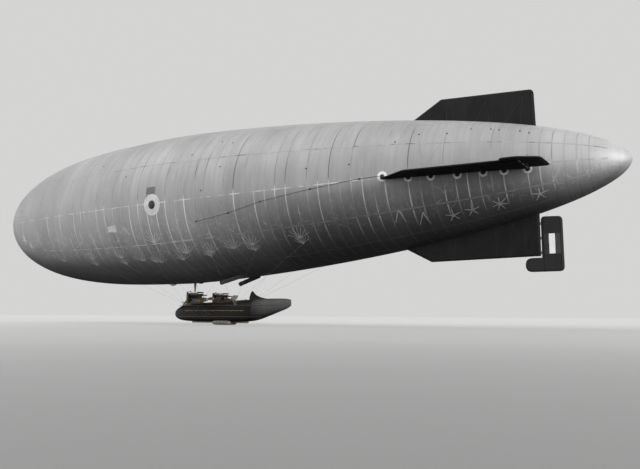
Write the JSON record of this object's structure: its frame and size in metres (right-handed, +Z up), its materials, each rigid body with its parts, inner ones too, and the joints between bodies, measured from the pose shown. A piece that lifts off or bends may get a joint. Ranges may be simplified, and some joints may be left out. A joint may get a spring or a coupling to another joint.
{
  "type": "twin-engine non-rigid airship, 1:2 scale model",
  "caption": "Slender cloth envelope with cruciform fins, a streamlined open car slung below it and a pusher power unit on an outrigger at each side.",
  "frame": {"origin": "centre of buoyancy, on the axis of the envelope 12.73 m aft of its bow", "axes": "+X towards the bow, +Y to port, +Z up"},
  "size_m": [29.26, 6.4238, 8.1295],
  "materials": {
    "envelope_cloth": "doped, silver grey, matt",
    "fin_cloth": "doped, nearly black, satin",
    "rudder_cloth": "doped, with a panel of three stripes",
    "car_paint": "dark grey paint, satin",
    "deck_paint": "darker grey paint, matt",
    "ash_wood": "varnished",
    "propeller_wood": "laminated, varnished",
    "tube_steel": "black enamel",
    "stay_steel": "stranded wire with light cloth pads",
    "engine_metal": "cast, oily",
    "radiator_brass": "dull, dark core",
    "cowl_aluminium": "beaten sheet, light",
    "valve_light": "light ring, dark dome",
    "dark_cloth": "doped sleeve",
    "seat_leather": "worn",
    "bag_rubber": "rubbered cloth, matt",
    "wheel_brass": "handled",
    "screen_glass": "clear"
  },
  "bodies": {
    "ship": {"envelope": "envelope_cloth", "air_scoop_port": "dark_cloth", "air_scoop_starboard": "dark_cloth", "gas_valve_port": "valve_light", "gas_valve_starboard": "valve_light", "air_valve_fore": "valve_light", "air_valve_aft": "dark_cloth", "filling_sleeve": "dark_cloth", "top_fin": "fin_cloth", "bottom_fin": "fin_cloth", "side_fin_port": "fin_cloth", "side_fin_starboard": "fin_cloth", "car_nose": "car_paint", "car_tub_fore": "car_paint", "car_tub_aft": "car_paint", "car_deck_fore": "deck_paint", "car_deck_aft": "deck_paint", "car_tail": "car_paint", "car_floor": "ash_wood", "seat_coxswain": "seat_leather", "seat_pilot": "seat_leather", "seat_mechanic": "seat_leather", "seat_wireless": "seat_leather", "windscreen_coxswain": "screen_glass", "windscreen_pilot": "screen_glass", "windscreen_mechanic": "screen_glass", "windscreen_wireless": "screen_glass", "control_wheel_coxswain": "wheel_brass", "control_wheel_pilot": "wheel_brass", "headrest_fairing": "car_paint", "keel_skid": "ash_wood", "bumper_bag_port": "bag_rubber", "bumper_bag_starboard": "bag_rubber", "outrigger_port": "tube_steel", "outrigger_starboard": "tube_steel", "engine_port": "engine_metal", "engine_starboard": "engine_metal", "radiator_port": "radiator_brass", "radiator_starboard": "radiator_brass", "cowl_port": "cowl_aluminium", "cowl_starboard": "cowl_aluminium", "bridle_fore_port": "stay_steel", "bridle_fore_starboard": "stay_steel", "bridle_aft_port": "stay_steel", "bridle_aft_starboard": "stay_steel"},
    "rudder": {"rudder": "rudder_cloth"},
    "elevator_port": {"elevator_port": "fin_cloth"},
    "elevator_starboard": {"elevator_starboard": "fin_cloth"},
    "propeller_port": {"propeller_port": "propeller_wood"},
    "propeller_starboard": {"propeller_starboard": "propeller_wood"}
  },
  "joints": [
    {"name": "rudder_hinge", "type": "hinge", "parent": "ship", "child": "rudder", "pos_m": [-13.895, 0, -2.15], "axis": [0, 0, 1], "range_deg": [-30, 30]},
    {"name": "elevator_hinge_port", "type": "hinge", "parent": "ship", "child": "elevator_port", "pos_m": [-13.895, 0, -0.21], "axis": [0, 1, 0], "range_deg": [-25, 25]},
    {"name": "elevator_hinge_starboard", "type": "hinge", "parent": "ship", "child": "elevator_starboard", "pos_m": [-13.895, 0, -0.21], "axis": [0, 1, 0], "range_deg": [-25, 25]},
    {"name": "propeller_shaft_port", "type": "hinge", "parent": "ship", "child": "propeller_port", "pos_m": [-0.92, 0.775, -3.925], "axis": [1, 0, 0], "continuous": true},
    {"name": "propeller_shaft_starboard", "type": "hinge", "parent": "ship", "child": "propeller_starboard", "pos_m": [-0.92, -0.775, -3.925], "axis": [1, 0, 0], "continuous": true}
  ],
  "couplings": [
    {"joint": "elevator_hinge_starboard", "follows": "elevator_hinge_port", "ratio": 1}
  ]
}
